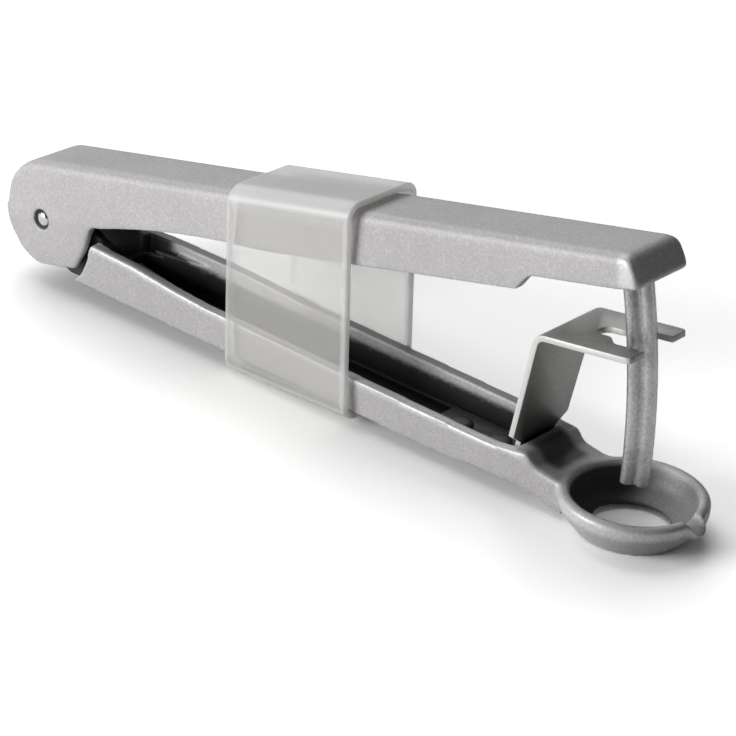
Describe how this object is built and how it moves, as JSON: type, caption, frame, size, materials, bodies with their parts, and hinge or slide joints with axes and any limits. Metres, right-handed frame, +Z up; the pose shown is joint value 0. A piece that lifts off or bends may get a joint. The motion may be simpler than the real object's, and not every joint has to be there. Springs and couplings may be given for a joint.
{
  "type": "cherry pitter",
  "caption": "Hand-held cherry pitter: two hinged cast channel levers, a curved ribbed plunger over a small cup, a forked stripper plate and a loose storage sleeve.",
  "frame": {"origin": "centre of the bounding box on the surface the tool lies on", "axes": "+X from the hinge towards the cup, +Z up, +Y across the levers, away from the side that the picture shows"},
  "size_m": [0.1766, 0.028, 0.0557],
  "materials": {
    "cast_lower": "silver-grey lacquer with fine metal flake on die-cast aluminium",
    "cast_upper": "silver-grey lacquer with fine metal flake on die-cast aluminium",
    "plunger_metal": "as-cast, matte",
    "pin_steel": "bright",
    "spring_wire": "drawn wire",
    "stripper_sheet": "satin rolled sheet",
    "rivet_metal": "satin",
    "sleeve_plastic": "milky translucent polyethylene"
  },
  "bodies": {
    "lower_body": {"lower_lever": "cast_lower", "stripper": "stripper_sheet", "stripper_rivets": "rivet_metal", "torsion_spring": "spring_wire"},
    "upper_body": {"upper_lever": "cast_upper", "plunger": "plunger_metal", "hinge_pin": "pin_steel"},
    "sleeve_body": {"storage_sleeve": "sleeve_plastic"}
  },
  "joints": [
    {"name": "lever_hinge", "type": "hinge", "parent": "lower_body", "child": "upper_body", "pos_m": [-0.07706, 0, 0.01479], "axis": [0, -1, 0], "range_deg": [-4, 10], "stiffness_Nm_per_rad": 0.15, "springref_deg": 20.05, "deforming": ["torsion_spring"]},
    {"name": "sleeve_slide", "type": "slide", "parent": "lower_body", "child": "sleeve_body", "axis": [0.9999, 0, -0.0136], "range_m": [-0.0645, 0.026]}
  ],
  "couplings": [
    {"joint": "sleeve_slide", "follows": "lever_hinge", "m_per_rad": -0.367}
  ]
}
